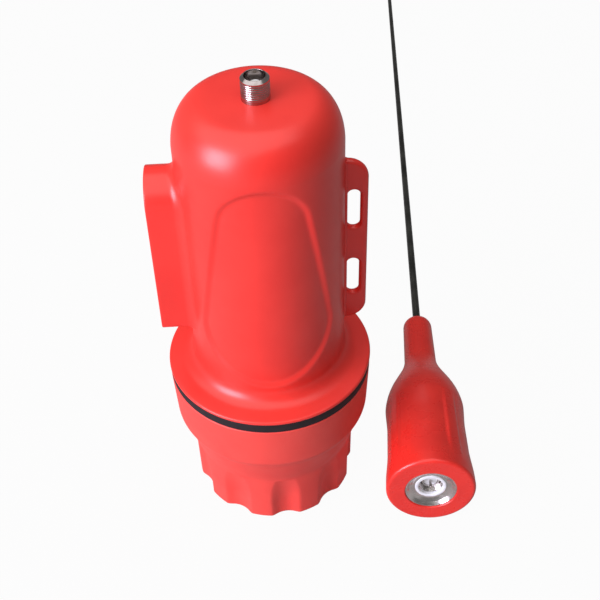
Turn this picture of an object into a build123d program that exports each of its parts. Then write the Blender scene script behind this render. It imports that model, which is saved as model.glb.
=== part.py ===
from build123d import *
import os
from math import asin, atan, cos, degrees, radians, sin, tan

# Fishing-net marker buoy, standing on its base, with its whip antenna unscrewed and laid beside it.
# Millimetres, +Z up. The origin is the centre of the base cap's flat bottom, the arched front panel
# faces -Y, the slotted strap ear points along +X and the side pod along -X.

# Fits and clearances
moulded_gap = 0.04  # between pieces moulded together, so that their curved faces don't overlap
thread_gap = 1.6  # radial room for the thread between the hull's neck and the base cap
running_gap = 0.3  # around a piece that slides or turns
neck_end_gap = 1.5  # below the hull's neck, inside the base cap
press_gap = 0.05  # around a metal piece set in plastic

# Base cap: a grooved grip section under a wider drum, hollow for the battery
foot_r = 37.1  # grip section at the floor
foot_edge = 1.4  # rounding of the bottom edge
grip_r = 37.5  # where the grip section begins to flare
grip_z = 28.6
crease_r = 41.9  # where the drum's rounded lower edge begins
crease_z = 43.4
drum_low_r = 44.0  # where that edge ends
drum_low_z = 49.4
drum_r = 45.0  # at the rim
rim_z = 70.4
cap_floor = 3.5
cap_wall = 3.0  # under the grip grooves
rim_wall = 5.0  # beside the hull's neck
groove_count = 10
groove_depth = 3.4  # at the floor
groove_cutter_r = 10.2
groove_straight = 9.5  # height over which a groove keeps its depth
groove_fade = 18.0  # height over which it then runs out
groove_runout = 1.2  # from the grip wall to the cutter's far end
groove_start = -84.5  # angle of one groove, from +X

# Battery pack, one plain block
battery_r = 27.0
battery_height = 70.0

# Seal ring between the cap's rim and the flange
seal_height = 5.1
seal_inset = 0.2  # of the ring's outside, from the flange's

# Collar: the flange that sits on the seal, and the neck that screws into the base cap
flange_r = 45.2
flange_edge = 0.6  # height of the flange's upright edge
flange_round = 0.9  # along the edge's top
ledge_slope = 8.0  # degrees, rising from the edge toward the hull
collar_blend = 5.0  # hollow round from the ledge into the hull
neck_length = 19.0
neck_wall = 3.2

# Hull: cylinder and domed top
hull_r = 33.3
hull_wall = 3.5
hull_height = 132.7  # from the flange's underside to the top
dome_width = 11.9
dome_height = 17.8
dome_crown = 0.4

# Arched panel, sunk into the hull's front and back: the outline around two circles
panel_depth = 1.2
panel_low_r = 26.2
panel_low_z = 38.0  # above the flange's underside
panel_top_r = 17.7
panel_top_z = 95.0

# Strap ear with two slots, on the +X side
ear_thickness = 3.6
ear_low = 19.2  # above the flange's underside
ear_height = 83.8
ear_corner = 8.7
ear_edge = 1.3
ear_rim = 3.2  # outside the slots
slot_gap = 1.1  # between the hull and the slots
slot_width = 5.2
slot_length = 19.0
slot_spacing = 35.8

# Side pod, a closed lug with a rounded top, on the -X side
pod_depth = 11.9  # out of the hull
pod_thickness = 23.8
pod_low = 28.3  # above the flange's underside
pod_height = 73.8
pod_round = 11.2  # along its two top edges
pod_edge = 0.6

# Antenna jack on the hull's top
jack_r = 5.55
jack_shank_r = 5.0  # through the hull's wall
jack_height = 9.6
jack_bore_r = 4.1
jack_chamfer = 1.1
jack_floor = 1.2  # bottom of the bore, above the hull's top
jack_post_r = 2.35
jack_post_drop = 3.2  # below the jack's rim
jack_disc_height = 0.5
contact_r = 0.85
contact_bore_r = 0.68
contact_depth = 3.4
contact_drop = 0.2  # below the post's end

# Antenna boot: grip, shoulder and neck, measured along the antenna from its open face
boot_face_r = 20.7
boot_edge = 1.2
boot_grip_r = 19.2  # where the grip meets the shoulder
boot_grip_length = 50.0
boot_shoulder_length = 34.5
boot_neck_r = 8.1
boot_neck_end_r = 7.5
boot_length = 115.4
boot_tip_r = 3.1
boot_tip_length = 5.4
flat_count = 4  # shallow finger recesses around the grip
flat_width = 71.0  # degrees
flat_depth = 0.9
flat_start = 7.7  # from the open face
flat_length = 42.8
flat_turn = 79.0  # angle of one recess, from the antenna's right

# Plug inside the boot
nut_r = 11.9
nut_length = 13.5
nut_recess = 0.5
nut_lip = 0.5  # width of the rim around the mouth
nut_mouth_r = 8.3  # where the mouth's cone ends
nut_mouth_depth = 2.8
nut_bore_r = 5.68
nut_bore_depth = 7.3
gasket_r = 7.3  # outside of the ring that wipes the jack's barrel
gasket_height = 1.8
gasket_proud = 0.4  # how far it stands out of its seat
ferrule_r = 3.95
ferrule_wall = 0.6
ferrule_recess = 5.6
plug_insulator_recess = 6.2
plug_pin_r = 0.6
plug_pin_recess = 2.2

# Whip
whip_low_r = 2.0
whip_tip_r = 1.3
whip_seat = 45.0  # length held inside the boot
antenna_length = 560.0  # from the open face to the tip

# Where the antenna lies: its open face and the way it points, from +Y toward +X
antenna_x = 70.3
antenna_y = -43.0
antenna_heading = 4.65

# Worked out from the above
flange_z = rim_z + seal_height
edge_z = flange_z + flange_edge
ledge_out_r = flange_r - flange_round * (1 - sin(radians(ledge_slope)))
ledge_in_r = hull_r + collar_blend * (1 - sin(radians(ledge_slope)))
ledge_out_z = edge_z + flange_round * cos(radians(ledge_slope))
ledge_in_z = ledge_out_z + (ledge_out_r - ledge_in_r) * tan(radians(ledge_slope))
hull_low_z = ledge_in_z + collar_blend * cos(radians(ledge_slope))
hull_top = flange_z + hull_height
dome_low_z = hull_top - dome_crown - dome_height
cavity_r = hull_r - hull_wall
seal_r = flange_r - seal_inset
cap_bore_r = drum_r - rim_wall
neck_r = cap_bore_r - thread_gap
cup_r = foot_r - groove_depth - cap_wall
cup_top_r = crease_r - rim_wall
cup_shelf_z = flange_z - neck_length - neck_end_gap
slot_reach = hull_r + slot_gap + slot_width / 2
ear_reach = slot_reach + slot_width / 2 + ear_rim
pod_reach = hull_r + pod_depth

os.makedirs("parts", exist_ok=True)


# ---- Base cap, and the upright cutter for its grip grooves, which narrows toward its top ----
with BuildPart() as groove_cutter:
    cutter_top_r = groove_cutter_r - groove_depth - groove_runout
    cutter_top_z = groove_straight + groove_fade
    with BuildSketch(Plane.XZ) as cutter_section:
        with BuildLine():
            Polyline(
                (cutter_top_r, cutter_top_z),
                (0, cutter_top_z),
                (0, -groove_straight),
                (groove_cutter_r, -groove_straight),
                (groove_cutter_r, groove_straight),
            )
            TangentArc((groove_cutter_r, groove_straight), (cutter_top_r, cutter_top_z), tangent=(0, 1))
        make_face()
    revolve(axis=Axis.Z)

with BuildPart() as base_cap:
    with BuildSketch(Plane.XZ) as cap_section:
        with BuildLine():
            Line((0, 0), (foot_r - foot_edge, 0))
            JernArc((foot_r - foot_edge, 0), (1, 0), foot_edge, 90)
            Line((foot_r, foot_edge), (grip_r, grip_z))
            flare = Line((grip_r, grip_z), (crease_r, crease_z))
            TangentArc((drum_low_r, drum_low_z), flare @ 1, tangent=(drum_low_r - drum_r, drum_low_z - rim_z))
            Polyline(
                (drum_low_r, drum_low_z),
                (drum_r, rim_z),
                (cap_bore_r, rim_z),
                (cap_bore_r, cup_shelf_z),
                (cup_top_r, cup_shelf_z),
                (cup_r, grip_z),
                (cup_r, cap_floor),
                (0, cap_floor),
                (0, 0),
            )
        make_face()
    revolve(axis=Axis.Z)
    with PolarLocations(foot_r + groove_cutter_r - groove_depth, groove_count, start_angle=groove_start):
        add(groove_cutter.part, mode=Mode.SUBTRACT)
base_cap.part.label = "base_cap"


# ---- Battery pack ----
with BuildPart(Plane.XY.offset(cap_floor)) as battery_pack:
    Cylinder(battery_r, battery_height, align=(Align.CENTER, Align.CENTER, Align.MIN))
battery_pack.part.label = "battery_pack"


# ---- Seal ring ----
with BuildPart(Plane.XY.offset(rim_z)) as seal_ring:
    with BuildSketch(Plane.XY.offset(rim_z)):
        Circle(seal_r)
        Circle(neck_r + running_gap, mode=Mode.SUBTRACT)
    extrude(amount=seal_height)
seal_ring.part.label = "seal_ring"


# ---- Arched panel's cutter, for both faces of the hull ----
panel_slant = degrees(asin((panel_low_r - panel_top_r) / (panel_top_z - panel_low_z)))
with BuildPart() as panel_cutter:
    with BuildSketch(Plane.XZ) as panel_outline:
        with BuildLine():
            top_arc = CenterArc((0, flange_z + panel_top_z), panel_top_r, panel_slant, 180 - 2 * panel_slant)
            low_arc = CenterArc(
                (0, flange_z + panel_low_z), panel_low_r, 180 - panel_slant, 180 + 2 * panel_slant
            )
            Line(top_arc @ 1, low_arc @ 0)
            Line(low_arc @ 1, top_arc @ 0)
        make_face()
    extrude(amount=2 * flange_r, both=True)
    with Locations((0, 0, flange_z)):
        Cylinder(
            hull_r - panel_depth,
            hull_height,
            align=(Align.CENTER, Align.CENTER, Align.MIN),
            mode=Mode.SUBTRACT,
        )


# ---- Collar ----
with BuildPart() as collar:
    with BuildSketch(Plane.XZ) as collar_section:
        with BuildLine():
            Polyline(
                (hull_r, hull_low_z),
                (cavity_r, hull_low_z),
                (cavity_r, edge_z),
                (neck_r - neck_wall, flange_z - neck_wall),
                (neck_r - neck_wall, flange_z - neck_length),
                (neck_r, flange_z - neck_length),
                (neck_r, flange_z),
                (flange_r, flange_z),
                (flange_r, edge_z),
            )
            edge_arc = CenterArc((flange_r - flange_round, edge_z), flange_round, 0, 90 - ledge_slope)
            blend_arc = CenterArc((hull_r + collar_blend, hull_low_z), collar_blend, 180, 90 - ledge_slope)
            Line(edge_arc @ 1, blend_arc @ 1)
        make_face()
    revolve(axis=Axis.Z)
collar.part.label = "collar"


# ---- Hull ----
with BuildPart() as hull:
    with BuildSketch(Plane.XZ) as hull_section:
        with BuildLine():
            Polyline(
                (0, hull_top),
                (0, hull_top - hull_wall),
                (cavity_r - dome_width, hull_top - hull_wall),
                (cavity_r, dome_low_z),
                (cavity_r, hull_low_z),
                (hull_r, hull_low_z),
                (hull_r, dome_low_z),
            )
            EllipticalCenterArc(
                (hull_r - dome_width, dome_low_z), dome_width, dome_height, start_angle=0, arc_size=90
            )
            TangentArc((0, hull_top), (hull_r - dome_width, hull_top - dome_crown), tangent=(1, 0))
        make_face()
    revolve(axis=Axis.Z)
    Cylinder(jack_shank_r + press_gap, 3 * hull_top, mode=Mode.SUBTRACT)
    add(panel_cutter.part, mode=Mode.SUBTRACT)
hull.part.label = "hull"


# ---- Strap ear ----
with BuildPart() as strap_ear:
    ear_middle_z = flange_z + ear_low + ear_height / 2
    with BuildSketch(Plane.XZ.offset(-ear_thickness / 2)) as ear_outline:
        with Locations((0, ear_middle_z)):
            RectangleRounded(2 * ear_reach, ear_height, ear_corner)
        with Locations((-ear_reach, ear_middle_z)):
            Rectangle(2 * ear_reach, ear_height, mode=Mode.SUBTRACT)
        with Locations((slot_reach, ear_middle_z)):
            with GridLocations(0, slot_spacing, 1, 2):
                SlotOverall(slot_length, slot_width, rotation=90, mode=Mode.SUBTRACT)
    extrude(amount=ear_thickness)
    outer_edges = strap_ear.edges().filter_by(
        lambda edge: edge.bounding_box().max.X > slot_reach + slot_width / 2 + 0.1
        and edge.bounding_box().size.Y < ear_thickness / 2
    )
    fillet(outer_edges, ear_edge)
    with Locations((0, 0, ear_middle_z)):
        Cylinder(hull_r + moulded_gap, 2 * ear_height, mode=Mode.SUBTRACT)
strap_ear.part.label = "strap_ear"


# ---- Side pod ----
with BuildPart() as side_pod:
    pod_middle_z = flange_z + pod_low + pod_height / 2
    with BuildSketch(Plane.YZ) as pod_outline:
        with Locations((0, pod_middle_z)):
            Rectangle(pod_thickness, pod_height)
        fillet(pod_outline.vertices().group_by(Axis.Z)[-1], pod_round)
    extrude(amount=-pod_reach)
    fillet(side_pod.faces().sort_by(Axis.X)[0].edges(), pod_edge)
    with Locations((0, 0, pod_middle_z)):
        Cylinder(hull_r + moulded_gap, 2 * pod_height, mode=Mode.SUBTRACT)
side_pod.part.label = "side_pod"


# ---- Antenna jack ----
jack_top = hull_top + jack_height
jack_post_top = jack_top - jack_post_drop
with BuildPart() as jack_barrel:
    with BuildSketch(Plane.XZ) as barrel_section:
        with BuildLine():
            Polyline(
                (0, hull_top - hull_wall),
                (jack_shank_r, hull_top - hull_wall),
                (jack_shank_r, hull_top),
                (jack_r, hull_top),
                (jack_r, jack_top - jack_chamfer),
                (jack_r - jack_chamfer, jack_top),
                (jack_bore_r, jack_top),
                (jack_bore_r, hull_top + jack_floor),
                (0, hull_top + jack_floor),
                close=True,
            )
        make_face()
    revolve(axis=Axis.Z)
jack_barrel.part.label = "jack_barrel"

with BuildPart(Plane.XY.offset(hull_top + jack_floor)) as jack_insulator:
    Cylinder(jack_bore_r - press_gap, jack_disc_height, align=(Align.CENTER, Align.CENTER, Align.MIN))
    Cylinder(
        jack_post_r, jack_post_top - hull_top - jack_floor, align=(Align.CENTER, Align.CENTER, Align.MIN)
    )
    with Locations((0, 0, jack_post_top - hull_top - jack_floor - contact_depth)):
        Cylinder(
            contact_r + press_gap,
            2 * contact_depth,
            align=(Align.CENTER, Align.CENTER, Align.MIN),
            mode=Mode.SUBTRACT,
        )
jack_insulator.part.label = "jack_insulator"

with BuildPart() as jack_contact:
    with BuildSketch(Plane.XY.offset(jack_post_top - contact_depth)):
        Circle(contact_r)
        Circle(contact_bore_r, mode=Mode.SUBTRACT)
    extrude(amount=contact_depth - contact_drop)
jack_contact.part.label = "jack_contact"


# ---- Antenna's place: it rests on the floor at the boot's shoulder and at the whip's tip ----
antenna_droop = degrees(atan((boot_grip_r - whip_tip_r) / (antenna_length - boot_grip_length)))
antenna_z = boot_grip_length * sin(radians(antenna_droop)) + boot_grip_r * cos(radians(antenna_droop))
antenna_origin = Vector(antenna_x, antenna_y, antenna_z)
antenna_way = Vector(
    sin(radians(antenna_heading)) * cos(radians(antenna_droop)),
    cos(radians(antenna_heading)) * cos(radians(antenna_droop)),
    -sin(radians(antenna_droop)),
)
antenna_side = Vector(cos(radians(antenna_heading)), -sin(radians(antenna_heading)), 0)
antenna_axis = Axis(antenna_origin, antenna_way)
# Sections are drawn with x as the radius and y as the distance from the open face
antenna_section = Plane(antenna_origin, x_dir=antenna_side, z_dir=antenna_side.cross(antenna_way))
# Round pieces stand on the open face, with z along the antenna
antenna_face = Plane(antenna_origin, x_dir=antenna_side, z_dir=antenna_way)
nut_floor = nut_recess + nut_bore_depth
nut_end = nut_recess + nut_length
gasket_recess = nut_mouth_depth - gasket_proud
gasket_seat = gasket_recess + gasket_height
shoulder_end = boot_grip_length + boot_shoulder_length


# ---- Antenna boot ----
with BuildPart() as antenna_boot:
    with BuildSketch(antenna_section) as boot_section:
        with BuildLine():
            Polyline(
                (0, boot_length),
                (0, nut_end),
                (nut_r + press_gap, nut_end),
                (nut_r + press_gap, 0),
                (boot_face_r - boot_edge, 0),
                (boot_face_r, boot_edge),
                (boot_grip_r, boot_grip_length),
            )
            Spline(
                (boot_grip_r, boot_grip_length),
                (boot_neck_r, shoulder_end),
                tangents=[(-0.12, 1), (-0.05, 1)],
                tangent_scalars=[1.35, 0.9],
            )
            Line((boot_neck_r, shoulder_end), (boot_neck_end_r, boot_length - boot_tip_length))
            EllipticalCenterArc(
                (boot_tip_r, boot_length - boot_tip_length),
                boot_neck_end_r - boot_tip_r,
                boot_tip_length,
                start_angle=0,
                arc_size=90,
            )
            Line((boot_tip_r, boot_length), (0, boot_length))
        make_face()
    revolve(axis=antenna_axis)
    with BuildSketch(antenna_face.offset(boot_length - whip_seat)):
        Circle(whip_low_r + press_gap)
    extrude(amount=2 * whip_seat, mode=Mode.SUBTRACT)
    with BuildSketch(antenna_face.offset(flat_start)):
        for number in range(flat_count):
            flat_from = flat_turn + number * 360 / flat_count - flat_width / 2
            with BuildLine():
                flat_floor = CenterArc((0, 0), boot_grip_r - flat_depth, flat_from, flat_width)
                flat_roof = CenterArc((0, 0), 2 * boot_face_r, flat_from, flat_width)
                Line(flat_floor @ 0, flat_roof @ 0)
                Line(flat_floor @ 1, flat_roof @ 1)
            make_face()
    extrude(
        amount=flat_length,
        taper=-degrees(atan((boot_face_r - boot_grip_r) / boot_grip_length)),
        mode=Mode.SUBTRACT,
    )
antenna_boot.part.label = "antenna_boot"


# ---- Plug inside the boot ----
with BuildPart() as coupling_nut:
    with BuildSketch(antenna_section) as nut_section:
        with BuildLine():
            Polyline(
                (0, nut_floor),
                (nut_bore_r, nut_floor),
                (nut_bore_r, gasket_seat),
                (gasket_r, gasket_seat),
                (gasket_r, nut_mouth_depth),
                (nut_mouth_r, nut_mouth_depth),
                (nut_r - nut_lip, nut_recess),
                (nut_r, nut_recess),
                (nut_r, nut_end),
                (0, nut_end),
                close=True,
            )
        make_face()
    revolve(axis=antenna_axis)
coupling_nut.part.label = "coupling_nut"

with BuildPart() as plug_gasket:
    with BuildSketch(antenna_face.offset(gasket_recess)):
        Circle(gasket_r - press_gap)
        Circle(nut_bore_r, mode=Mode.SUBTRACT)
    extrude(amount=gasket_height)
plug_gasket.part.label = "plug_gasket"

with BuildPart() as plug_ferrule:
    with BuildSketch(antenna_face.offset(ferrule_recess)):
        Circle(ferrule_r)
        Circle(ferrule_r - ferrule_wall, mode=Mode.SUBTRACT)
    extrude(amount=nut_floor - ferrule_recess)
plug_ferrule.part.label = "plug_ferrule"

with BuildPart() as plug_insulator:
    with BuildSketch(antenna_face.offset(plug_insulator_recess)):
        Circle(ferrule_r - ferrule_wall - press_gap)
    extrude(amount=nut_floor - plug_insulator_recess)
plug_insulator.part.label = "plug_insulator"

with BuildPart() as plug_pin:
    with BuildSketch(antenna_face.offset(plug_pin_recess)):
        Circle(plug_pin_r)
    extrude(amount=plug_insulator_recess - plug_pin_recess)
plug_pin.part.label = "plug_pin"


# ---- Whip ----
with BuildPart() as whip_rod:
    with BuildSketch(antenna_section) as whip_section:
        with BuildLine():
            Polyline(
                (0, boot_length - whip_seat),
                (whip_low_r, boot_length - whip_seat),
                (whip_low_r, boot_length),
                (whip_tip_r, antenna_length),
                (0, antenna_length),
                close=True,
            )
        make_face()
    revolve(axis=antenna_axis)
whip_rod.part.label = "whip_rod"


pieces = [
    base_cap,
    battery_pack,
    seal_ring,
    collar,
    hull,
    strap_ear,
    side_pod,
    jack_barrel,
    jack_insulator,
    jack_contact,
    antenna_boot,
    coupling_nut,
    plug_gasket,
    plug_ferrule,
    plug_insulator,
    plug_pin,
    whip_rod,
]
for piece in pieces:
    export_step(piece.part, "parts/" + piece.part.label + ".step")
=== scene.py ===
import math
import bmesh
import bpy
import numpy as np
from mathutils import Matrix, Vector


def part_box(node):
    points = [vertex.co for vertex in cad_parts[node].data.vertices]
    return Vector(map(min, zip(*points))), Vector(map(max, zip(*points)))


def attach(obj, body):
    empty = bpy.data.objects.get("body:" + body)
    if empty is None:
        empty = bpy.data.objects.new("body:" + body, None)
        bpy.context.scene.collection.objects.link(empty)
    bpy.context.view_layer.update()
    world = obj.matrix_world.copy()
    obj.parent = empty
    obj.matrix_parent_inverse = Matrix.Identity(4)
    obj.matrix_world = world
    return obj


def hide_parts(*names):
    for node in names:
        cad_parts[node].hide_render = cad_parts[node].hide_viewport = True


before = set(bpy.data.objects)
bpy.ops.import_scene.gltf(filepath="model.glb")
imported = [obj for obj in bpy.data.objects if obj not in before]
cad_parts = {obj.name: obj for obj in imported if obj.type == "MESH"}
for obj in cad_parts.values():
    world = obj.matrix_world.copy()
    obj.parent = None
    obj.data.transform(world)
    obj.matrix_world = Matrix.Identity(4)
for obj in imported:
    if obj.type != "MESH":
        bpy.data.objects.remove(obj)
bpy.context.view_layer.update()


# Shapes are worked out in millimetres: loftMesh and plateLoop turn them to metres

def boxOf(node):
    low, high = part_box(node)
    return np.array(low) * 1000, np.array(high) * 1000


def finishMesh(name, mesh, body, material, nodes=(), creaseAngle=32):
    shaper = bmesh.new()
    shaper.from_mesh(mesh)
    bmesh.ops.remove_doubles(shaper, verts=shaper.verts, dist=1e-7)
    bmesh.ops.recalc_face_normals(shaper, faces=shaper.faces)
    shaper.to_mesh(mesh)
    shaper.free()
    mesh.shade_smooth()
    mesh.set_sharp_from_angle(angle=math.radians(creaseAngle))
    mesh.materials.clear()
    mesh.materials.append(material)
    piece = bpy.data.objects.new(name, mesh)
    bpy.context.scene.collection.objects.link(piece)
    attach(piece, body)
    if nodes:
        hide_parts(*nodes)


def loftMesh(name, rows, closed=False):
    # rows of points joined by quads; a closed loft ends where it began, an open one gets two caps, which
    # are small where its rows close in on an axis
    rows = np.asarray(rows, float)
    count, around = rows.shape[:2]
    points = [tuple(point) for point in rows.reshape(-1, 3) * 0.001]
    faces = []
    for row in range(count if closed else count - 1):
        near, far = row * around, (row + 1) % count * around
        for column in range(around):
            beside = (column + 1) % around
            faces.append((near + column, near + beside, far + beside, far + column))
    if not closed:
        faces.append(tuple(range(around)))
        faces.append(tuple(range((count - 1) * around, count * around)))
    mesh = bpy.data.meshes.new(name)
    mesh.from_pydata(points, [], faces)
    return mesh


def ringRows(profile, around):
    # a profile of (radius, height) turned about the vertical axis; a radius may differ around a ring
    angles = np.linspace(0, 2 * math.pi, around, endpoint=False)
    rows = []
    for radius, height in profile:
        ring = np.broadcast_to(radius, (around,))
        level = np.full(around, height)
        rows.append(np.stack([ring * np.cos(angles), ring * np.sin(angles), level], axis=-1))
    return np.array(rows)


def arcPoints(centre, radii, start, end, steps):
    angles = np.radians(np.linspace(start, end, steps))
    return [(centre[0] + radii[0] * math.cos(a), centre[1] + radii[1] * math.sin(a)) for a in angles]


def roundedPath(corners, steps=7):
    # a line through corners of (x, y, radius), each rounded by an arc of its radius
    points = []
    for i, (x, y, radius) in enumerate(corners):
        corner = np.array((x, y), float)
        if radius == 0:
            points.append(corner)
            continue
        back = np.array(corners[i - 1][:2]) - corner
        ahead = np.array(corners[(i + 1) % len(corners)][:2]) - corner
        back, ahead = back / np.linalg.norm(back), ahead / np.linalg.norm(ahead)
        half = math.acos(np.clip(back @ ahead, -1, 1)) / 2
        middle = corner + (back + ahead) / np.linalg.norm(back + ahead) * radius / math.sin(half)
        start, end = (corner + way * radius / math.tan(half) - middle for way in (back, ahead))
        first = math.atan2(start[1], start[0])
        sweep = (math.atan2(end[1], end[0]) - first + math.pi) % (2 * math.pi) - math.pi
        for share in np.linspace(0, 1, steps):
            turn = first + sweep * share
            points.append(middle + radius * np.array((math.cos(turn), math.sin(turn))))
    return points


def densePath(points, longest):
    # the same line, with points added so that no step is longer than asked
    points = [np.array(point, float) for point in points]
    dense = [points[0]]
    for start, end in zip(points[:-1], points[1:]):
        parts = max(1, math.ceil(np.linalg.norm(end - start) / longest))
        dense += [start + (end - start) * part / parts for part in range(1, parts + 1)]
    return np.array(dense)


def smoothStep(value):
    value = np.clip(value, 0, 1)
    return value * value * (3 - 2 * value)


def distanceTo(loop, x, y):
    # shortest distance from each x, y to a closed outline
    best = np.full(np.shape(x), np.inf)
    for start, end in zip(loop, np.roll(loop, -1, axis=0)):
        run = end - start
        share = np.clip(((x - start[0]) * run[0] + (y - start[1]) * run[1]) / (run @ run), 0, 1)
        best = np.minimum(best, np.hypot(x - start[0] - share * run[0], y - start[1] - share * run[1]))
    return best


# Materials

def linearColour(hexText):
    parts = [int(hexText[i:i + 2], 16) / 255 for i in (1, 3, 5)]
    return tuple(p / 12.92 if p <= 0.04045 else ((p + 0.055) / 1.055) ** 2.4 for p in parts) + (1.0,)


def addNode(tree, kind, settings=None, values=None, links=None):
    node = tree.nodes.new(kind)
    for key, value in (settings or {}).items():
        setattr(node, key, value)
    for key, value in (values or {}).items():
        node.inputs[key].default_value = value
    for key, source in (links or {}).items():
        tree.links.new(source, node.inputs[key])
    return node


def newMaterial(name):
    material = bpy.data.materials.new(name)
    material.use_nodes = True
    tree = material.node_tree
    tree.nodes.clear()
    place = addNode(tree, "ShaderNodeTexCoord").outputs["Object"]
    shader = addNode(tree, "ShaderNodeBsdfPrincipled")
    addNode(tree, "ShaderNodeOutputMaterial", links={"Surface": shader.outputs["BSDF"]})
    return material, tree, place, shader


def mouldedPlastic(name, look):
    # moulded plastic or rubber: an even skin that clouds a little where it cooled unevenly, with faint
    # sink waves, a fine spark-eroded grain, and pale scuffs that run up and down from handling; the real
    # grain is under 0.1 mm, so it is drawn coarser to show
    material, tree, place, shader = newMaterial(name)
    cloud = addNode(tree, "ShaderNodeTexNoise", values={"Scale": 1000 / look["cloudMm"], "Detail": 3.0},
                    links={"Vector": place})
    cloudShare = addNode(tree, "ShaderNodeMapRange", settings={"interpolation_type": "SMOOTHSTEP"},
                         values={"From Min": 0.35, "From Max": 0.65}, links={"Value": cloud.outputs["Fac"]})
    tone = addNode(tree, "ShaderNodeMix", settings={"data_type": "RGBA"},
                   values={6: linearColour(look["colour"]), 7: linearColour(look["shade"])},
                   links={0: cloudShare.outputs["Result"]})
    # a scuff is ten times as long as it is wide
    upright = addNode(tree, "ShaderNodeMapping", values={"Scale": (1.0, 1.0, 0.1)}, links={"Vector": place})
    scuff = addNode(tree, "ShaderNodeTexNoise", values={
        "Scale": 1000 / look["scuffMm"], "Detail": 8.0, "Roughness": 0.7, "Distortion": 0.3,
    }, links={"Vector": upright.outputs["Vector"]})
    scuffShare = addNode(tree, "ShaderNodeMapRange", settings={"interpolation_type": "SMOOTHSTEP"},
                         values={"From Min": 0.68, "From Max": 0.8, "To Max": look["scuff"]},
                         links={"Value": scuff.outputs["Fac"]})
    worn = addNode(tree, "ShaderNodeMix", settings={"data_type": "RGBA"},
                   values={7: linearColour(look["scuffColour"])},
                   links={0: scuffShare.outputs["Result"], 6: tone.outputs[2]})
    patch = addNode(tree, "ShaderNodeTexNoise", values={"Scale": 1000 / look["patchMm"], "Detail": 4.0},
                    links={"Vector": place})
    gloss = addNode(tree, "ShaderNodeMapRange", values={
        "From Min": 0.3, "From Max": 0.7, "To Min": look["roughness"][0], "To Max": look["roughness"][1],
    }, links={"Value": patch.outputs["Fac"]})
    # a scuff is this much rougher than the skin round it
    dulled = addNode(tree, "ShaderNodeMath", settings={"operation": "MULTIPLY_ADD"}, values={1: 0.15},
                     links={0: scuffShare.outputs["Result"], 2: gloss.outputs["Result"]})
    waves = addNode(tree, "ShaderNodeTexNoise", values={"Scale": 1000 / look["waveMm"], "Detail": 1.0},
                    links={"Vector": place})
    grain = addNode(tree, "ShaderNodeTexNoise", values={"Scale": 1000 / look["grainMm"], "Detail": 2.0},
                    links={"Vector": place})
    waved = addNode(tree, "ShaderNodeBump", values={"Distance": look["waveHighMm"] * 0.001, "Strength": 1.0},
                    links={"Height": waves.outputs["Fac"]})
    grained = addNode(tree, "ShaderNodeBump", values={
        "Distance": look["grainHighMm"] * 0.001, "Strength": 1.0,
    }, links={"Height": grain.outputs["Fac"], "Normal": waved.outputs["Normal"]})
    tree.links.new(worn.outputs[2], shader.inputs["Base Color"])
    tree.links.new(dulled.outputs[0], shader.inputs["Roughness"])
    tree.links.new(grained.outputs["Normal"], shader.inputs["Normal"])
    shader.inputs["IOR"].default_value = look["ior"]
    return material


# ABS from a polished mould, coloured through: glossy enough for soft-edged highlights
redAbs = mouldedPlastic("redPolishedAbs", dict(
    colour="#F63A31", shade="#F1352D", scuffColour="#FF7F72", cloudMm=30.0, scuffMm=3.0, scuff=0.3,
    grainMm=0.5, grainHighMm=0.006, waveMm=9.0, waveHighMm=0.03, patchMm=11.0,
    roughness=(0.31, 0.37), ior=1.53))

# the same ABS from a spark-eroded mould, matt for a wet hand's grip; its colour is a little paler than the
# polished ABS's, a painted reflection of the pale floor on the matt skin
redTexturedAbs = mouldedPlastic("redTexturedAbs", dict(
    colour="#FA4E44", shade="#F5483F", scuffColour="#FF968B", cloudMm=24.0, scuffMm=3.5, scuff=0.3,
    grainMm=0.55, grainHighMm=0.02, waveMm=8.0, waveHighMm=0.04, patchMm=9.0,
    roughness=(0.46, 0.56), ior=1.53))

# soft PVC moulded over the plug: glossy, and a little deeper in colour
redVinyl = mouldedPlastic("redMouldedVinyl", dict(
    colour="#F2352B", shade="#EA3028", scuffColour="#FF8A7C", cloudMm=20.0, scuffMm=3.0, scuff=0.3,
    grainMm=0.45, grainHighMm=0.008, waveMm=6.0, waveHighMm=0.06, patchMm=7.0,
    roughness=(0.24, 0.34), ior=1.53))

# nitrile rubber, moulded: near black with a dusty bloom
blackNitrile = mouldedPlastic("blackNitrileRubber", dict(
    colour="#14070B", shade="#1B0B10", scuffColour="#3A3236", cloudMm=6.0, scuffMm=2.0, scuff=0.3,
    grainMm=0.35, grainHighMm=0.02, waveMm=5.0, waveHighMm=0.05, patchMm=4.0,
    roughness=(0.7, 0.85), ior=1.52))

# PTFE, turned: waxy white
whitePtfe = mouldedPlastic("whiteTurnedPtfe", dict(
    colour="#F4F4F2", shade="#ECEDEE", scuffColour="#FFFFFF", cloudMm=2.0, scuffMm=0.6, scuff=0.2,
    grainMm=0.2, grainHighMm=0.008, waveMm=1.2, waveHighMm=0.01, patchMm=1.0,
    roughness=(0.34, 0.44), ior=1.35))

# silicone, moulded: the milky white gasket
paleSilicone = mouldedPlastic("paleMouldedSilicone", dict(
    colour="#F8F9F9", shade="#EEF1F4", scuffColour="#FFFFFF", cloudMm=2.5, scuffMm=0.8, scuff=0.2,
    grainMm=0.25, grainHighMm=0.006, waveMm=1.5, waveHighMm=0.02, patchMm=1.5,
    roughness=(0.26, 0.36), ior=1.41))

# PVC shrink wrap around the battery: dark and tight, with long soft creases
shrinkWrap = mouldedPlastic("darkPvcShrinkWrap", dict(
    colour="#23262E", shade="#2B303A", scuffColour="#59606C", cloudMm=14.0, scuffMm=3.5, scuff=0.4,
    grainMm=0.7, grainHighMm=0.01, waveMm=9.0, waveHighMm=0.2, patchMm=7.0,
    roughness=(0.28, 0.4), ior=1.54))


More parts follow.
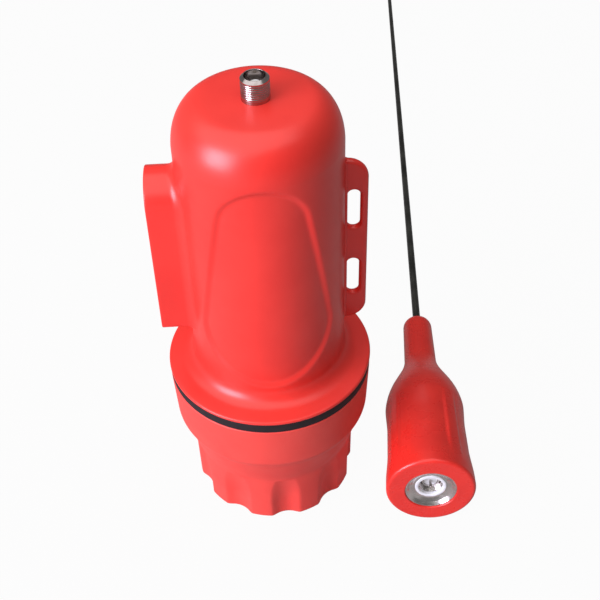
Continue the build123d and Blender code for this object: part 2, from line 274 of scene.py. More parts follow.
def turnedMetal(name, look):
    # metal turned on a lathe: rings left by the tool run round its axis, under a few darker blotches;
    # the rings are drawn coarser than a tool leaves them, so that they show
    material, tree, place, shader = newMaterial(name)
    # the pattern is drawn out fifty times across the axis, which makes rings of it
    rings = addNode(tree, "ShaderNodeMapping", values={"Rotation": look["turn"], "Scale": (0.02, 0.02, 1.0)},
                    links={"Vector": place})
    lines = addNode(tree, "ShaderNodeTexNoise", values={
        "Scale": 1000 / look["ringMm"], "Detail": 3.0, "Roughness": 0.6,
    }, links={"Vector": rings.outputs["Vector"]})
    blotch = addNode(tree, "ShaderNodeTexNoise", values={"Scale": 1000 / look["blotchMm"], "Detail": 3.0},
                     links={"Vector": place})
    blotchShare = addNode(tree, "ShaderNodeMapRange", settings={"interpolation_type": "SMOOTHSTEP"},
                          values={"From Min": 0.35, "From Max": 0.7}, links={"Value": blotch.outputs["Fac"]})
    tone = addNode(tree, "ShaderNodeMix", settings={"data_type": "RGBA"},
                   values={6: linearColour(look["colour"]), 7: linearColour(look["shade"])},
                   links={0: blotchShare.outputs["Result"]})
    gloss = addNode(tree, "ShaderNodeMapRange", values={
        "From Min": 0.3, "From Max": 0.7, "To Min": look["roughness"][0], "To Max": look["roughness"][1],
    }, links={"Value": lines.outputs["Fac"]})
    ridged = addNode(tree, "ShaderNodeBump", values={
        "Distance": look["ringHighMm"] * 0.001, "Strength": 1.0,
    }, links={"Height": lines.outputs["Fac"]})
    tree.links.new(tone.outputs[2], shader.inputs["Base Color"])
    tree.links.new(gloss.outputs["Result"], shader.inputs["Roughness"])
    tree.links.new(ridged.outputs["Normal"], shader.inputs["Normal"])
    shader.inputs["Metallic"].default_value = 1.0
    return material


lieFlat = (math.radians(90), 0, 0)  # turns the rings' axis from upright to the antenna's

# nickel plate on turned brass: bright and slightly warm, with fine tool rings under the plate
nickelJack = turnedMetal("nickelPlatedJack", dict(
    colour="#B3A9A8", shade="#A39894", turn=(0, 0, 0), ringMm=0.15, ringHighMm=0.003, blotchMm=2.5,
    roughness=(0.16, 0.28)))
# the plug's copy of the plate is paler than the jack's: painted light, standing in for lamp light on the
# plug's face
nickelPlug = turnedMetal("nickelPlatedPlug", dict(
    colour="#DCD6D2", shade="#C8C2BE", turn=lieFlat, ringMm=0.18, ringHighMm=0.002, blotchMm=5.0,
    roughness=(0.14, 0.3)))

# gold flash on a beryllium copper contact: small, yellow and smooth
goldFlash = turnedMetal("goldFlashedContact", dict(
    colour="#D8B36A", shade="#C09A52", turn=(0, 0, 0), ringMm=0.1, ringHighMm=0.001, blotchMm=0.8,
    roughness=(0.18, 0.28)))

# spring steel, ground and blackened: dull dark grey, a little olive where the finish has thinned
springSteel = turnedMetal("blackenedSpringSteel", dict(
    colour="#5C5C57", shade="#42423F", turn=lieFlat, ringMm=0.6, ringHighMm=0.002, blotchMm=16.0,
    roughness=(0.32, 0.45)))
print("materials made:", len(bpy.data.materials))


# Hull: neck, flange, tube and dome in one moulding, with the arched panel sunk in both faces

sealLow, sealHigh = boxOf("seal_ring")
collarLow, collarHigh = boxOf("collar")
hullHigh = boxOf("hull")[1]

hullLook = dict(
    around=300, rowStep=0.86,  # points round a ring, and the longest step between rings
    tubeR=hullHigh[0], top=hullHigh[2], wall=3.5, jackHole=5.0,
    flangeR=collarHigh[0], flangeZ=sealHigh[2], ledgeZ=1.38, ledgeRise=1.67, edgeRound=0.9, lowRound=0.3,
    blend=7.0, domeWide=11.9, domeHigh=17.8, crown=0.4, crownSoft=40,
    neckLow=collarLow[2], neckR=38.4, neckWall=3.2, neckChamfer=0.8, hollowLow=0.6,
    panelDeep=1.2, panelSlope=2.8, panelLowR=26.2, panelLowZ=38.0, panelTopR=17.7, panelTopZ=95.0,
)


def hullOutside(d):
    ledge = d["flangeZ"] + d["ledgeZ"]
    domeZ = d["top"] - d["crown"] - d["domeHigh"]
    crownR = d["tubeR"] - d["domeWide"]
    path = roundedPath([
        (d["neckR"] - d["neckChamfer"], d["neckLow"], 0), (d["neckR"], d["neckLow"] + d["neckChamfer"], 0),
        (d["neckR"], d["flangeZ"], d["lowRound"]), (d["flangeR"], d["flangeZ"], d["lowRound"]),
        (d["flangeR"], ledge, d["edgeRound"]), (d["tubeR"], ledge + d["ledgeRise"], d["blend"]),
        (d["tubeR"], domeZ, 0),
    ], steps=12)
    path += arcPoints((crownR, domeZ), (d["domeWide"], d["domeHigh"]), 0, 90, steps=60)[1:]
    crownRadii = np.linspace(crownR, d["jackHole"], 40)[1:]
    path += [(r, d["top"] - d["crown"] * (r / crownR) ** 2) for r in crownRadii]
    path = densePath(path, d["rowStep"])
    turnIn = np.argmax(path[:, 1] > domeZ)
    for _ in range(d["crownSoft"]):  # eases the dome into its crown
        path[turnIn + 1:-1] = (path[turnIn:-2] + 2 * path[turnIn + 1:-1] + path[turnIn + 2:]) / 4
    return path


def hullInside(d):
    hollow, domeZ = d["tubeR"] - d["wall"], d["top"] - d["crown"] - d["domeHigh"]
    neckIn = d["neckR"] - d["neckWall"]
    domeIn = (d["domeWide"], d["domeHigh"] + d["crown"] - d["wall"])
    path = [(d["jackHole"], d["top"] - d["wall"])]
    path += arcPoints((hollow - d["domeWide"], domeZ), domeIn, 90, 0, steps=9)
    path += [(hollow, d["flangeZ"] + d["hollowLow"]), (neckIn, d["flangeZ"] - d["neckWall"])]
    return path + [(neckIn, d["neckLow"])]


def panelSide(d):
    # the panel's right edge from its lowest to its highest point: two arcs and the line between them
    lean = math.degrees(math.asin((d["panelLowR"] - d["panelTopR"]) / (d["panelTopZ"] - d["panelLowZ"])))
    edge = arcPoints((0, d["flangeZ"] + d["panelLowZ"]), (d["panelLowR"],) * 2, -90, lean, steps=48)
    edge += arcPoints((0, d["flangeZ"] + d["panelTopZ"]), (d["panelTopR"],) * 2, lean, 90, steps=32)
    edge = np.array(edge)
    edge[:, 0] = d["tubeR"] * np.arcsin(edge[:, 0] / d["tubeR"])  # measured along the tube's wall
    return edge


def hullRows(d):
    outside = hullOutside(d)
    rows = ringRows([(np.full(d["around"], r), z) for r, z in [*outside, *hullInside(d)]], d["around"])
    angles = np.linspace(0, 2 * math.pi, d["around"], endpoint=False)
    edge = panelSide(d)
    loop = np.concatenate([edge, edge[-2:0:-1] * (-1, 1)])
    onTube = abs(outside[:, 0] - d["tubeR"]) < 0.01
    near = (outside[:, 1] > edge[0, 1] - d["panelSlope"]) & (outside[:, 1] < edge[-1, 1] + d["panelSlope"])
    chosen = np.flatnonzero(onTube & near)
    for facing in (-90, 90):  # the front and the back
        away = (np.degrees(angles) - facing + 180) % 360 - 180
        side, up = np.meshgrid(np.radians(away) * d["tubeR"], outside[chosen, 1])
        within = abs(side) < np.interp(up, edge[:, 1], edge[:, 0], left=-1, right=-1)
        gap = distanceTo(loop, side, up)
        sunk = d["panelDeep"] * smoothStep(np.where(within, gap, -gap) / d["panelSlope"] + 0.5)
        rows[chosen, :, :2] *= (1 - sunk / d["tubeR"])[..., None]
    return rows


finishMesh("hullShell", loftMesh("hullShell", hullRows(hullLook), closed=True),
           "housing", redAbs, ("hull", "collar"))
print("hull made")


# Neck thread: the turns that screw into the base cap

threadLook = dict(pitch=4.0, turns=3.6, low=58.2, root=38.0, crest=39.7, foot=1.3, tip=0.5,
                  runout=0.12, leastCrest=0.05, steps=72)


def threadRows(d):
    rows = []
    for turn in np.arange(0, d["turns"], 1 / d["steps"]):
        taper = smoothStep(min(turn, d["turns"] - turn) / d["runout"])
        crest = d["root"] + (d["crest"] - d["root"]) * max(float(taper), d["leastCrest"])
        angle, z = 2 * math.pi * turn, d["low"] + d["pitch"] * turn
        section = [(d["root"], -d["foot"]), (crest, -d["tip"]), (crest, d["tip"]), (d["root"], d["foot"])]
        rows.append([(r * math.cos(angle), r * math.sin(angle), z + rise) for r, rise in section])
    return rows


finishMesh("neckThread", loftMesh("neckThread", threadRows(threadLook)), "housing", redAbs)


# Side pod and the ear's root: lugs that grow out of the hull with a hollow round

podLow, podHigh = boxOf("side_pod")
earLow, earHigh = boxOf("strap_ear")


def lugOutline(width, low, high, roundLow, roundTop):
    # points and outward normals round a lug, seen from its end
    half = width / 2
    loop = roundedPath([(half, low, roundLow), (half, high, roundTop),
                        (-half, high, roundTop), (-half, low, roundLow)], steps=14)
    loop = densePath([*loop, loop[0]], longest=1.2)[:-1]
    along = np.roll(loop, -1, axis=0) - np.roll(loop, 1, axis=0)
    normals = np.stack([along[:, 1], -along[:, 0]], axis=-1)
    return loop, normals / np.linalg.norm(normals, axis=1, keepdims=True)


def lugRows(d, tubeR, facing):
    outline, normals = lugOutline(d["width"], d["low"], d["high"], d["roundLow"], d["roundTop"])
    blend, edge = d["blend"], d["edge"]
    flat = d["reach"] - edge
    blendAngles = np.radians(np.linspace(8, 90, 11))
    edgeAngles = np.radians(np.linspace(15, 90, 6))
    # each ring's offset out from the outline, its share of the way to the flat end, and its lift
    rings = [(blend * 0.6, 0, -2.0), (blend + 0.05, 0, -0.02)]  # these two hide in the hull's wall
    rings += [(blend * (1 - math.sin(t)), 0, blend * (1 - math.cos(t))) for t in blendAngles]
    rings += [(0, share, blend * (1 - share)) for share in (0.2, 0.4, 0.6, 0.8, 1.0)]
    rings += [(-edge * (1 - math.cos(t)), 1, edge * math.sin(t)) for t in edgeAngles]
    rows = []
    for offset, share, lift in rings:
        across = outline + normals * offset
        onTube = np.sqrt(tubeR ** 2 - across[:, 0] ** 2)
        x = onTube * (1 - share) + flat * share + lift
        rows.append(np.stack([facing * x, across[:, 0], across[:, 1]], axis=-1))
    return rows


podLook = dict(width=podHigh[1] - podLow[1], low=podLow[2], high=podHigh[2], reach=-podLow[0],
               roundLow=1.2, roundTop=11.1, blend=3.6, edge=0.6)
finishMesh("podShell", loftMesh("podShell", lugRows(podLook, hullLook["tubeR"], -1)),
           "housing", redAbs, ("side_pod",))

earLook = dict(width=earHigh[1] - earLow[1], low=earLow[2], high=earHigh[2], reach=earHigh[0], corner=8.7,
               rim=1.5, inHull=2.0, slotX=37.0, slotWide=5.2, slotLong=19.0, slotSpacing=35.8)
rootLook = dict(width=earLook["width"], low=earLook["low"], high=earLook["high"],
                reach=hullLook["tubeR"] + 1.05, roundLow=1.2, roundTop=1.2, blend=0.95, edge=0.1)
finishMesh("earRoot", loftMesh("earRoot", lugRows(rootLook, hullLook["tubeR"], 1)),
           "housing", redAbs)


def plateLoop(curve, points):
    spline = curve.splines.new("POLY")
    spline.points.add(len(points) - 1)
    for spot, (x, y) in zip(spline.points, points):
        spot.co = (x * 0.001, y * 0.001, 0, 1)
    spline.use_cyclic_u = True


def earPlateMesh(d, tubeR):
    # a plate with rounded rims round its outside and its two slots
    curve = bpy.data.curves.new("earPlate", "CURVE")
    curve.dimensions = "2D"
    curve.fill_mode = "BOTH"
    curve.extrude = (d["width"] / 2 - d["rim"]) * 0.001
    curve.bevel_depth = d["rim"] * 0.001
    curve.bevel_resolution = 4
    curve.offset = -d["rim"] * 0.001
    inner = tubeR - d["inHull"]
    plateLoop(curve, roundedPath([(inner, d["low"], 0), (d["reach"], d["low"], d["corner"]),
                                  (d["reach"], d["high"], d["corner"]), (inner, d["high"], 0)], steps=16))
    middle, half = (d["low"] + d["high"]) / 2, d["slotWide"] / 2
    run = d["slotLong"] / 2 - half
    for z in (middle - d["slotSpacing"] / 2, middle + d["slotSpacing"] / 2):
        plateLoop(curve, arcPoints((d["slotX"], z + run), (half, half), 0, 180, steps=15)
                  + arcPoints((d["slotX"], z - run), (half, half), 180, 360, steps=15))
    holder = bpy.data.objects.new("earPlateCurve", curve)
    mesh = bpy.data.meshes.new_from_object(holder)
    bpy.data.objects.remove(holder)
    bpy.data.curves.remove(curve)
    mesh.transform(Matrix.Rotation(math.radians(90), 4, "X"))
    return mesh


finishMesh("earPlate", earPlateMesh(earLook, hullLook["tubeR"]), "housing", redAbs,
           ("strap_ear",), creaseAngle=50)
print("pod and ear made")


# Base cap: a straight grip section with ten finger grooves, which flares to a wider drum

capHigh = boxOf("base_cap")[1]
capLook = dict(
    around=400, rowStep=0.8, axisR=0.5,
    footR=37.1, footEdge=1.4, gripR=37.5, gripZ=28.6, gripRound=14.0,
    creaseR=41.9, creaseZ=43.4, creaseRound=9.0,
    drumLowR=44.0, drumLowZ=48.0, drumLowRound=5.0, drumR=capHigh[0], rimZ=capHigh[2], rimRound=0.6,
    bore=40.0, boreChamfer=0.5, shelfZ=55.0, cupTopR=36.9, cupR=30.7, cupChamfer=1.0, floor=3.5,
    grooves=10, grooveDeep=2.5, grooveR=10.2, grooveStraight=9.5, grooveFade=18.0, grooveRunout=1.2,
    grooveStart=-84.5, grooveSoft=1.3, grooveTopSoft=4.0,
)


def smallerOf(first, second, soft):
    # the smaller of two, with the corner between them rounded
    blend = np.clip(0.5 + 0.5 * (second - first) / soft, 0, 1)
    return second + (first - second) * blend - soft * blend * (1 - blend)


def capRows(d):
    outside = densePath(roundedPath([
        (d["footR"] * 0.9, 0, 0), (d["footR"], 0, d["footEdge"]), (d["gripR"], d["gripZ"], d["gripRound"]),
        (d["creaseR"], d["creaseZ"], d["creaseRound"]), (d["drumLowR"], d["drumLowZ"], d["drumLowRound"]),
        (d["drumR"], d["rimZ"], d["rimRound"]), (d["bore"] + d["boreChamfer"], d["rimZ"], 0),
    ], steps=10), d["rowStep"])
    inside = [(d["bore"], d["rimZ"] - d["boreChamfer"]), (d["bore"], d["shelfZ"]),
              (d["cupTopR"], d["shelfZ"]), (d["cupR"], d["gripZ"]), (d["cupR"], d["floor"] + d["cupChamfer"]),
              (d["cupR"] - d["cupChamfer"], d["floor"]), (d["axisR"], d["floor"])]
    angles = np.linspace(0, 2 * math.pi, d["around"], endpoint=False)
    pitch = 2 * math.pi / d["grooves"]
    away = (angles - math.radians(d["grooveStart"]) + pitch / 2) % pitch - pitch / 2
    centre = d["footR"] + d["grooveR"] - d["grooveDeep"]
    pull = d["grooveDeep"] + d["grooveRunout"]
    bend = (pull ** 2 + d["grooveFade"] ** 2) / (2 * pull)  # radius of the cutter's narrowing end
    grooveTop = d["grooveStraight"] + d["grooveFade"]
    profile = [(d["axisR"], 0), (d["footR"] * 0.5, 0), (d["footR"] * 0.75, 0)]
    for r, z in outside:
        ring = np.full(d["around"], r)
        if z < grooveTop:
            fade = max(z - d["grooveStraight"], 0)
            cutter = d["grooveR"] - (bend - math.sqrt(bend ** 2 - fade ** 2))
            reach = np.maximum(cutter ** 2 - (centre * np.sin(away)) ** 2, 0)
            cut = centre * np.cos(away) - np.sqrt(reach)
            higher = smoothStep(fade / d["grooveFade"])
            soft = d["grooveSoft"] + (d["grooveTopSoft"] - d["grooveSoft"]) * higher
            ring = smallerOf(ring, cut - (d["footR"] - r) * (z < d["footEdge"]), soft)
        profile.append((ring, z))
    return ringRows(profile + inside, d["around"])


finishMesh("baseCap", loftMesh("baseCap", capRows(capLook)), "base", redTexturedAbs,
           ("base_cap",))
print("base cap made")


# Seal ring, bulging a little between the cap's rim and the flange

sealLook = dict(around=200, low=sealLow[2], high=sealHigh[2], outR=sealHigh[0], inR=38.75,
                corner=0.7, bulge=0.12, bulgeRound=4.0)


def sealProfile(d):
    out = d["outR"] - d["bulge"]
    middle = (d["low"] + d["high"]) / 2
    return roundedPath([(d["inR"], d["low"], 0), (d["inR"], d["high"], 0), (out, d["high"], d["corner"]),
                        (d["outR"], middle, d["bulgeRound"]), (out, d["low"], d["corner"])])


finishMesh("sealBand", loftMesh("sealBand", ringRows(sealProfile(sealLook), sealLook["around"]), closed=True),
           "seal", blackNitrile, ("seal_ring",))


# Antenna jack: threaded barrel, white insulator and its contact

jackLow, jackHigh = boxOf("jack_barrel")
jackLook = dict(around=96, axisR=0.3, low=jackLow[2], top=jackHigh[2], seat=hullLook["top"],
                barrelR=jackHigh[0], shankR=4.95, footChamfer=0.25, footGap=0.05,
                bore=4.1, mouth=3.0, floor=1.2, chamfer=1.1, rimRound=0.12,
                pitch=0.907, threadDeep=0.18, threadFoot=1.2, threadFade=1.0, threadHead=0.4, headFade=0.5)


def threadCut(height, pitch, around):
    # how deep a thread is at each angle of a ring, from 0 at its crest to 1
    phase = (height / pitch - np.arange(around) / around) % 1
    return smoothStep(1 - abs(phase - 0.5) / 0.42)  # the rest of the pitch is the crest's flat


def jackProfile(d):
    threadTop = d["top"] - d["chamfer"]
    profile = [(d["axisR"], d["low"]), (d["shankR"], d["low"]), (d["shankR"], d["seat"] - 2 * d["footGap"]),
               (d["barrelR"] - d["footChamfer"], d["seat"] - d["footGap"])]
    for z in np.arange(d["seat"], threadTop + 0.01, d["pitch"] / 9):
        fade = (smoothStep((z - d["seat"] - d["threadFoot"]) / d["threadFade"])
                * smoothStep((threadTop - d["threadHead"] - z) / d["headFade"]))
        profile.append((d["barrelR"] - d["threadDeep"] * threadCut(z, d["pitch"], d["around"]) * fade, z))
    profile += roundedPath([
        (d["barrelR"], threadTop, 0), (d["barrelR"] - d["chamfer"], d["top"], d["rimRound"]),
        (d["bore"], d["top"], d["rimRound"]), (d["bore"], d["top"] - d["mouth"], 0)])
    return profile + [(d["bore"], d["seat"] + d["floor"]), (d["axisR"], d["seat"] + d["floor"])]


finishMesh("jackBarrel", loftMesh("jackBarrel", ringRows(jackProfile(jackLook), jackLook["around"])),
           "housing", nickelJack, ("jack_barrel",), creaseAngle=40)

postLook = dict(around=64, discR=4.05, discHigh=0.5, discRound=0.1, postR=2.35, rootRound=0.3, topRound=0.25,
                top=boxOf("jack_insulator")[1][2], holeR=0.95, holeRound=0.12,
                floorZ=jackLook["seat"] + jackLook["floor"] + 0.02)


def postProfile(d):
    discTop = d["floorZ"] + d["discHigh"]
    return roundedPath([
        (d["discR"], d["floorZ"], 0), (d["discR"], discTop, d["discRound"]),
        (d["postR"], discTop, d["rootRound"]), (d["postR"], d["top"], d["topRound"]),
        (d["holeR"], d["top"], d["holeRound"]), (d["holeR"], d["floorZ"], 0)])


finishMesh("jackPost", loftMesh("jackPost", ringRows(postProfile(postLook), postLook["around"]), closed=True),
           "housing", whitePtfe, ("jack_insulator",))

contactLow, contactHigh = boxOf("jack_contact")
contactLook = dict(around=40, outR=0.85, inR=0.62, rimRound=0.08, low=contactLow[2], high=contactHigh[2])


def contactProfile(d):
    return roundedPath([(d["outR"], d["low"], 0), (d["outR"], d["high"], d["rimRound"]),
                        (d["inR"], d["high"], d["rimRound"]), (d["inR"], d["low"], 0)])


contactRows = ringRows(contactProfile(contactLook), contactLook["around"])
finishMesh("jackContact", loftMesh("jackContact", contactRows, closed=True),
           "housing", goldFlash, ("jack_contact",))
print("jack made")


# Antenna: it lies on the floor at the boot's shoulder and the whip's tip

antennaLook = dict(x=70.3, y=-43.0, heading=4.65, gripR=19.2, gripLong=50.0, tipR=1.3, long=560.0)


def antennaPlace(d):
    droop = math.atan((d["gripR"] - d["tipR"]) / (d["long"] - d["gripLong"]))
    heading = math.radians(d["heading"])
    level = math.cos(droop)
    way = np.array([math.sin(heading) * level, math.cos(heading) * level, -math.sin(droop)])
    side = np.array([math.cos(heading), -math.sin(heading), 0.0])
    z = d["gripLong"] * math.sin(droop) + d["gripR"] * math.cos(droop)
    return np.array([d["x"], d["y"], z]), side, np.cross(side, way), way


antennaOrigin, antennaSide, antennaUp, antennaWay = antennaPlace(antennaLook)


def alongAntenna(rows):
    # x to the antenna's right, y up and z along it from the open face
    x, y, z = rows[..., :1], rows[..., 1:2], rows[..., 2:]
    return antennaOrigin + x * antennaSide + y * antennaUp + z * antennaWay


bootLook = dict(
    around=256, rowStep=0.7, axisR=0.3, faceR=20.7, edge=1.6, gripR=antennaLook["gripR"],
    gripLong=antennaLook["gripLong"], shoulderLong=34.5, neckR=8.1, neckEndR=7.5, long=115.4,
    tipR=3.1, tipLong=5.4,
    bellyIn=1.4, bellyLong=15.5, napeOut=0.7, napeLong=11.3,  # pulls that bend the shoulder, low and high
    pocketR=11.93, pocketDeep=13.9, pocketAxisR=0.4, pocketEdge=0.3, pocketEdgeDeep=0.35,
    whipR=2.0, lipWide=0.6, lipDeep=0.1, throatDeep=0.7, seatDeep=0.9,
    recesses=4, recessWide=71.0, recessDeep=0.85, recessLow=5.0, recessHigh=52.0, recessTurn=-11.0,
    recessSoft=1.8, recessFade=16.0, recessLeastR=15.2,
)


def bezierPoints(ends, pulls, steps):
    # a curve from one end to the other, drawn toward the two pulls
    corners = np.array((ends[0], *pulls, ends[1]))
    points = []
    for s in np.linspace(0, 1, steps)[1:]:
        weights = ((1 - s) ** 3, 3 * s * (1 - s) ** 2, 3 * s * s * (1 - s), s ** 3)
        points.append(tuple(sum(w * corner[k] for w, corner in zip(weights, corners)) for k in (0, 1)))
    return points


def bootRows(d):
    shoulderEnd = d["gripLong"] + d["shoulderLong"]
    tipStart = d["long"] - d["tipLong"]
    mouthR = d["pocketR"] + d["pocketEdge"]
    pocket = [(d["pocketAxisR"], d["pocketDeep"]), (d["pocketR"], d["pocketDeep"]),
              (d["pocketR"], d["pocketEdgeDeep"]), (mouthR, 0.0)]
    skin = roundedPath([(mouthR, 0, 0), (d["faceR"], 0, d["edge"]), (d["gripR"], d["gripLong"], 0)], steps=10)
    skin += bezierPoints(
        ((d["gripR"], d["gripLong"]), (d["neckR"], shoulderEnd)),
        ((d["gripR"] - d["bellyIn"], d["gripLong"] + d["bellyLong"]),
         (d["neckR"] + d["napeOut"], shoulderEnd - d["napeLong"])), steps=44)
    skin += [(d["neckEndR"], tipStart)]
    skin += arcPoints((d["tipR"], tipStart), (d["neckEndR"] - d["tipR"], d["tipLong"]), 0, 90, steps=14)[1:]
    skin += [(d["whipR"] + d["lipWide"], d["long"] - d["lipDeep"]), (d["whipR"], d["long"] - d["throatDeep"]),
             (d["axisR"], d["long"] - d["seatDeep"])]
    angles = np.linspace(0, 2 * math.pi, d["around"], endpoint=False)
    pitch = 2 * math.pi / d["recesses"]
    away = (math.pi / 2 - angles - math.radians(d["recessTurn"]) + pitch / 2) % pitch - pitch / 2
    # each recess has two long edges and fades out towards its ends
    over = abs(away) * d["gripR"] - math.radians(d["recessWide"] / 2) * d["gripR"]
    across = smoothStep(0.5 - over / d["recessSoft"])
    profile = pocket
    for r, a in densePath(skin, d["rowStep"]):
        rise = smoothStep((a - d["recessLow"]) / d["recessFade"])
        fall = smoothStep((d["recessHigh"] - a) / d["recessFade"])
        profile.append((r - d["recessDeep"] * across * rise * fall if r > d["recessLeastR"] else r, a))
    return alongAntenna(ringRows(profile, d["around"]))


finishMesh("antennaBoot", loftMesh("antennaBoot", bootRows(bootLook)), "antenna", redVinyl,
           ("antenna_boot",))

# Plug in the boot's face; its depths are measured from there

nutLook = dict(
    around=144, axisR=0.3, nutR=11.87, face=0.5, end=13.9, endRound=0.3, faceRound=0.2,
    lip=0.5, lipRound=0.12,
    mouthR=8.3, mouthDeep=2.8, coneWide=1.6, coneRise=0.9, coneRound=1.6, seatRound=0.2, seatEdge=0.1,
    gasketR=7.29, gasketBack=4.2, boreR=5.68, floor=7.8, pitch=0.907, threadDeep=0.35, threadStart=0.1,
)


def nutProfile(d):
    profile = roundedPath([
        (d["axisR"], d["end"], 0), (d["nutR"], d["end"], d["endRound"]),
        (d["nutR"], d["face"], d["faceRound"]), (d["nutR"] - d["lip"], d["face"], d["lipRound"]),
        (d["mouthR"] + d["coneWide"], d["mouthDeep"] - d["coneRise"], d["coneRound"]),
        (d["mouthR"], d["mouthDeep"], d["seatRound"]), (d["gasketR"], d["mouthDeep"], d["seatEdge"]),
        (d["gasketR"], d["gasketBack"], 0), (d["boreR"], d["gasketBack"], 0)])
    for a in np.arange(d["gasketBack"] + d["threadStart"], d["floor"], d["pitch"] / 8):
        profile.append((d["boreR"] + d["threadDeep"] * threadCut(a, d["pitch"], d["around"]), a))
    return profile + [(d["boreR"], d["floor"]), (d["axisR"], d["floor"])]


nutRows = alongAntenna(ringRows(nutProfile(nutLook), nutLook["around"]))
finishMesh("couplingNut", loftMesh("couplingNut", nutRows),
           "antenna", nickelPlug, ("coupling_nut",), creaseAngle=40)

# each piece of the plug: inner and outer radius, back and front, and the roundings of its front rims
gasketLook = dict(inR=nutLook["boreR"], outR=7.27, back=nutLook["gasketBack"], front=2.4,
                  inRound=0.45, outRound=0.45)
ferruleLook = dict(inR=3.35, outR=3.95, back=nutLook["floor"], front=5.6, inRound=0.12, outRound=0.2)
coreLook = dict(inR=0.3, outR=ferruleLook["inR"] - 0.05, back=nutLook["floor"], front=6.2,
                inRound=0, outRound=0.2)
pinLook = dict(inR=0.1, outR=0.6, back=coreLook["front"] + 0.4, front=2.2, inRound=0, outRound=0.35)


def addPlugPiece(name, d, material, node, solid=False):
    back = [(d["inR"], d["back"], 0), (d["outR"], d["back"], 0)]
    front = [(d["outR"], d["front"], d["outRound"]), (d["inR"], d["front"], d["inRound"])]
    rows = alongAntenna(ringRows(roundedPath(back + front), 96))
    finishMesh(name, loftMesh(name, rows, closed=not solid), "antenna", material, (node,))


addPlugPiece("plugGasket", gasketLook, paleSilicone, "plug_gasket")
addPlugPiece("plugFerrule", ferruleLook, nickelPlug, "plug_ferrule")
addPlugPiece("plugCore", coreLook, whitePtfe, "plug_insulator", solid=True)
addPlugPiece("plugPin", pinLook, nickelPlug, "plug_pin", solid=True)

whipLook = dict(around=40, lowAxisR=0.3, tipAxisR=0.1, lowR=bootLook["whipR"], tipR=antennaLook["tipR"],
                tipRound=0.8, start=71.0, boot=bootLook["long"], long=antennaLook["long"], rowStep=15.0)


def whipProfile(d):
    return densePath(roundedPath([
        (d["lowAxisR"], d["start"], 0), (d["lowR"], d["start"], 0), (d["lowR"], d["boot"], 0),
        (d["tipR"], d["long"], d["tipRound"]), (d["tipAxisR"], d["long"], 0),
    ]), d["rowStep"])


whipRows = alongAntenna(ringRows(whipProfile(whipLook), whipLook["around"]))
finishMesh("whipRod", loftMesh("whipRod", whipRows), "antenna", springSteel, ("whip_rod",))
print("antenna made")


# Battery pack: the CAD's block, in its wrap

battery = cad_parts["battery_pack"]
battery.data.materials.clear()
battery.data.materials.append(shrinkWrap)
print("battery wrapped")


# Floor, light and camera

# floorWhite is the floor's white to the camera; skyLight lights the object, skyGloss shows in its gloss
stageLook = dict(floorColour="#A3A2A0", floorSize=6.0, floorWhite=0.96, skyLight=0.075, skyGloss=0.14)

# turn is from straight in front, positive to the right; high is above the floor, in degrees
keyLook = dict(colour="#EFEAFF", power=35.0, size=0.95, distance=1.6, turn=-55, high=16, aim=(0.01, 0, 0.11))
topLook = dict(colour="#FFFFFF", power=13.0, size=1.7, distance=1.0, turn=-60, high=76, aim=(0.01, 0, 0.11))


def makeFloor(d):
    half = d["floorSize"] / 2
    corners = [(-half, -half, 0), (half, -half, 0), (half, half, 0), (-half, half, 0)]
    mesh = bpy.data.meshes.new("studioFloor")
    mesh.from_pydata(corners, [], [(0, 1, 2, 3)])
    material = bpy.data.materials.new("paintedStudioFloor")
    material.use_nodes = True
    tree = material.node_tree
    tree.nodes.clear()
    paint = addNode(tree, "ShaderNodeBsdfDiffuse", values={"Color": linearColour(d["floorColour"])})
    white = addNode(tree, "ShaderNodeEmission", values={"Color": (1, 1, 1, 1), "Strength": 1.0})
    rays = addNode(tree, "ShaderNodeLightPath").outputs
    clear = addNode(tree, "ShaderNodeMath", settings={"operation": "MAXIMUM"},
                    links={0: rays["Is Camera Ray"], 1: rays["Is Transmission Ray"]})
    seen = addNode(tree, "ShaderNodeMath", settings={"operation": "MULTIPLY_ADD"}, values={1: d["skyGloss"]},
                   links={0: rays["Is Glossy Ray"], 2: clear.outputs[0]})
    share = addNode(tree, "ShaderNodeMath", settings={"operation": "MULTIPLY"}, values={1: d["floorWhite"]},
                    links={0: seen.outputs[0]})
    mixed = addNode(tree, "ShaderNodeMixShader",
                    links={0: share.outputs[0], 1: paint.outputs[0], 2: white.outputs[0]})
    addNode(tree, "ShaderNodeOutputMaterial", links={"Surface": mixed.outputs[0]})
    mesh.materials.append(material)
    floor = bpy.data.objects.new("studioFloor", mesh)
    bpy.context.scene.collection.objects.link(floor)


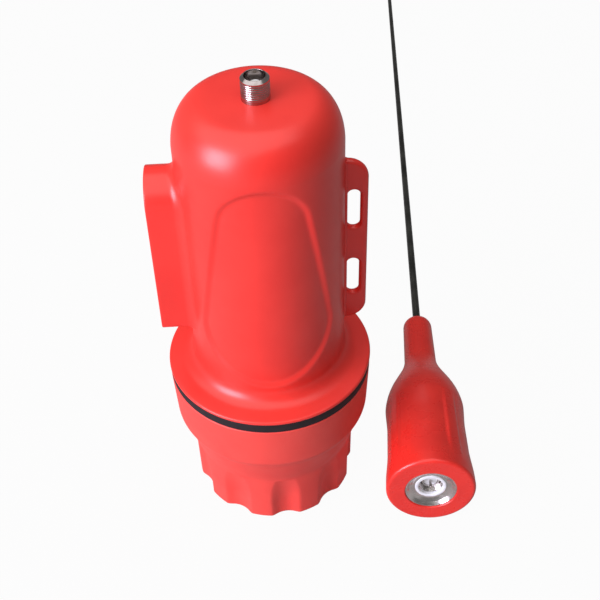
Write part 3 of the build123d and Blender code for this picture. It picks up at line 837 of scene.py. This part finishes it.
def makeSky(d):
    world = bpy.data.worlds.new("studioSky")
    world.use_nodes = True
    tree = world.node_tree
    tree.nodes.clear()
    soft = addNode(tree, "ShaderNodeBackground", values={"Color": (1, 1, 1, 1), "Strength": d["skyLight"]})
    white = addNode(tree, "ShaderNodeBackground", values={"Color": (1, 1, 1, 1), "Strength": 1.0})
    rays = addNode(tree, "ShaderNodeLightPath").outputs
    clear = addNode(tree, "ShaderNodeMath", settings={"operation": "MAXIMUM"},
                    links={0: rays["Is Camera Ray"], 1: rays["Is Transmission Ray"]})
    seen = addNode(tree, "ShaderNodeMath", settings={"operation": "MULTIPLY_ADD"}, values={1: d["skyGloss"]},
                   links={0: rays["Is Glossy Ray"], 2: clear.outputs[0]})
    mixed = addNode(tree, "ShaderNodeMixShader",
                    links={0: seen.outputs[0], 1: soft.outputs[0], 2: white.outputs[0]})
    addNode(tree, "ShaderNodeOutputWorld", links={"Surface": mixed.outputs[0]})
    bpy.context.scene.world = world


def addLamp(name, d):
    lamp = bpy.data.lights.new(name, "AREA")
    lamp.color = linearColour(d["colour"])[:3]
    lamp.energy = d["power"]
    lamp.size = d["size"]
    turn, high = math.radians(d["turn"]), math.radians(d["high"])
    way = Vector((math.sin(turn) * math.cos(high), -math.cos(turn) * math.cos(high), math.sin(high)))
    holder = bpy.data.objects.new(name, lamp)
    holder.location = Vector(d["aim"]) + way * d["distance"]
    holder.rotation_euler = way.to_track_quat("Z", "Y").to_euler()
    bpy.context.scene.collection.objects.link(holder)


makeFloor(stageLook)
makeSky(stageLook)
addLamp("keyLamp", keyLook)
addLamp("topLamp", topLook)

# place is in millimetres, roll in degrees
cameraLook = dict(place=(0.9, -347.4, 428.0), way=(0.0281, 0.7320, -0.6807), roll=-1.65, lens=65.58)


def makeCamera(d):
    data = bpy.data.cameras.new("viewCamera")
    data.lens = d["lens"]
    data.sensor_width = 36.0
    data.clip_start = 0.01
    camera = bpy.data.objects.new("viewCamera", data)
    way = Vector(d["way"]).normalized()
    right = way.cross(Vector((0, 0, 1))).normalized()
    up = right.cross(way)
    roll = math.radians(d["roll"])
    rightRolled = right * math.cos(roll) + up * math.sin(roll)
    upRolled = up * math.cos(roll) - right * math.sin(roll)
    turn = Matrix((rightRolled, upRolled, -way)).transposed().to_4x4()
    camera.matrix_world = Matrix.Translation(Vector(d["place"]) * 0.001) @ turn
    bpy.context.scene.collection.objects.link(camera)
    bpy.context.scene.camera = camera


makeCamera(cameraLook)
bpy.context.scene.view_settings.view_transform = "Standard"
print("stage, light and camera made")
